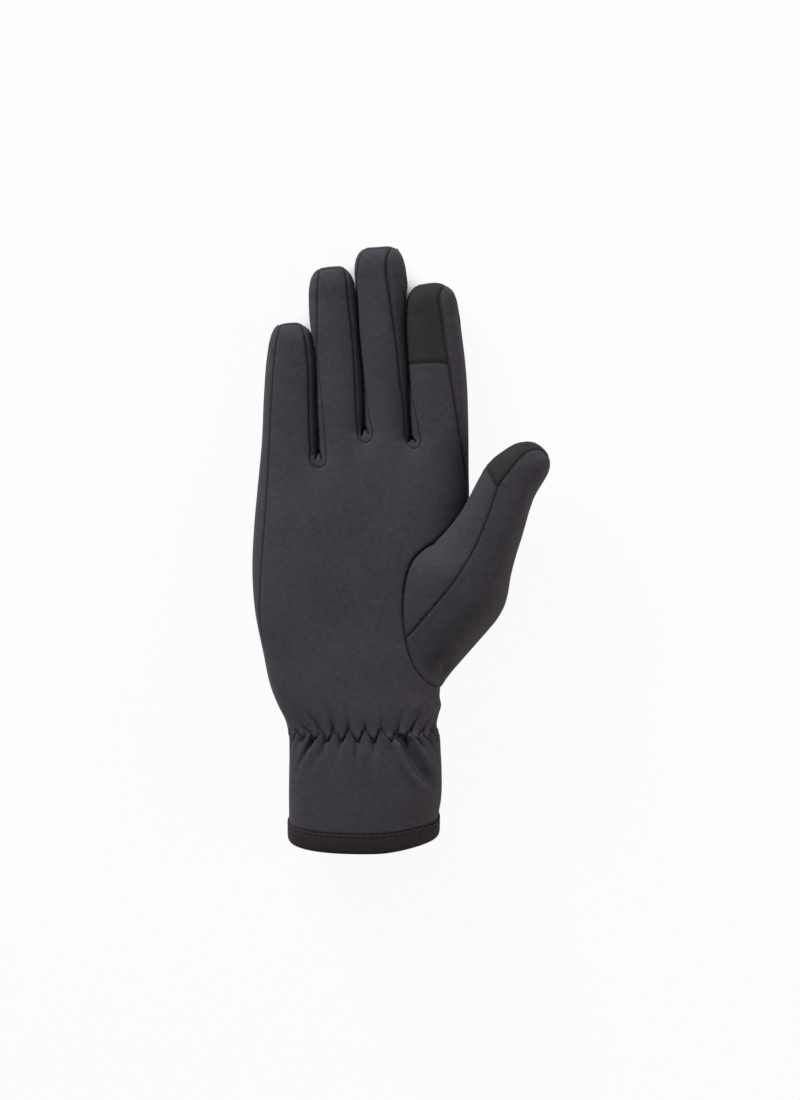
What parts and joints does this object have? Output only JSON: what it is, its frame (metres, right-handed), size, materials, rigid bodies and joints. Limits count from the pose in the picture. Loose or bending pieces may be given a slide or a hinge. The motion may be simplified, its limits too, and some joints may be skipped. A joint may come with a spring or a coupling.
{
  "type": "touchscreen glove",
  "caption": "Close-fitting stretch glove for a right hand, with conductive pads on forefinger and thumb tips, a gathered elastic wrist and a bound cuff.",
  "frame": {"origin": "middle of the object's footprint, on the surface that it lies on", "axes": "+Y from the cuff to the fingertips, +X from the little finger to the thumb, +Z from the back of the hand to the palm"},
  "size_m": [0.1294, 0.2612, 0.0449],
  "materials": {
    "stretch_fabric": "matt charcoal knit face, brushed inside",
    "touch_fabric": "matt black conductive knit",
    "edge_binding": "black stretch binding",
    "elastic_tape": "woven elastic"
  },
  "bodies": {
    "hand": {"palm_panel": "stretch_fabric", "back_panel": "stretch_fabric", "little_side_gusset": "stretch_fabric", "index_wall_root": "stretch_fabric", "web_little_ring": "stretch_fabric", "web_ring_middle": "stretch_fabric", "web_middle_index": "stretch_fabric", "cuff_binding": "edge_binding", "wrist_elastic": "elastic_tape", "thumb_base_inner": "stretch_fabric", "thumb_base_outer": "stretch_fabric"},
    "little_finger": {"little_front": "stretch_fabric", "little_back": "stretch_fabric", "little_wall_left": "stretch_fabric", "little_wall_right": "stretch_fabric", "little_fold": "stretch_fabric"},
    "ring_finger": {"ring_front": "stretch_fabric", "ring_back": "stretch_fabric", "ring_wall_left": "stretch_fabric", "ring_wall_right": "stretch_fabric", "ring_fold": "stretch_fabric"},
    "middle_finger": {"middle_front": "stretch_fabric", "middle_back": "stretch_fabric", "middle_wall_left": "stretch_fabric", "middle_wall_right": "stretch_fabric", "middle_fold": "stretch_fabric"},
    "index_finger": {"index_front": "stretch_fabric", "index_back": "stretch_fabric", "index_wall_left": "stretch_fabric", "index_wall_right": "stretch_fabric", "index_fold": "stretch_fabric", "index_touch_patch": "touch_fabric"},
    "thumb": {"thumb_inner": "stretch_fabric", "thumb_outer": "stretch_fabric", "thumb_touch_patch": "touch_fabric", "thumb_fold": "stretch_fabric"}
  },
  "joints": [
    {"name": "little_finger_fold", "type": "hinge", "parent": "hand", "child": "little_finger", "pos_m": [-0.0487, 0.04962, 0.00921], "axis": [1, 0, 0], "range_deg": [0, 70], "deforming": ["little_fold"]},
    {"name": "ring_finger_fold", "type": "hinge", "parent": "hand", "child": "ring_finger", "pos_m": [-0.02779, 0.05862, 0.00988], "axis": [1, 0, 0], "range_deg": [0, 70], "deforming": ["ring_fold"]},
    {"name": "middle_finger_fold", "type": "hinge", "parent": "hand", "child": "middle_finger", "pos_m": [-0.0076, 0.05962, 0.01011], "axis": [1, 0, 0], "range_deg": [0, 70], "deforming": ["middle_fold"]},
    {"name": "index_finger_fold", "type": "hinge", "parent": "hand", "child": "index_finger", "pos_m": [0.01546, 0.05662, 0.0099], "axis": [1, 0, 0], "range_deg": [0, 70], "deforming": ["index_fold"]},
    {"name": "thumb_fold_over", "type": "hinge", "parent": "hand", "child": "thumb", "pos_m": [0.04208, 0.01492, 0.0225], "axis": [0.8813, -0.4726, 0], "range_deg": [0, 50], "deforming": ["thumb_fold"]}
  ]
}
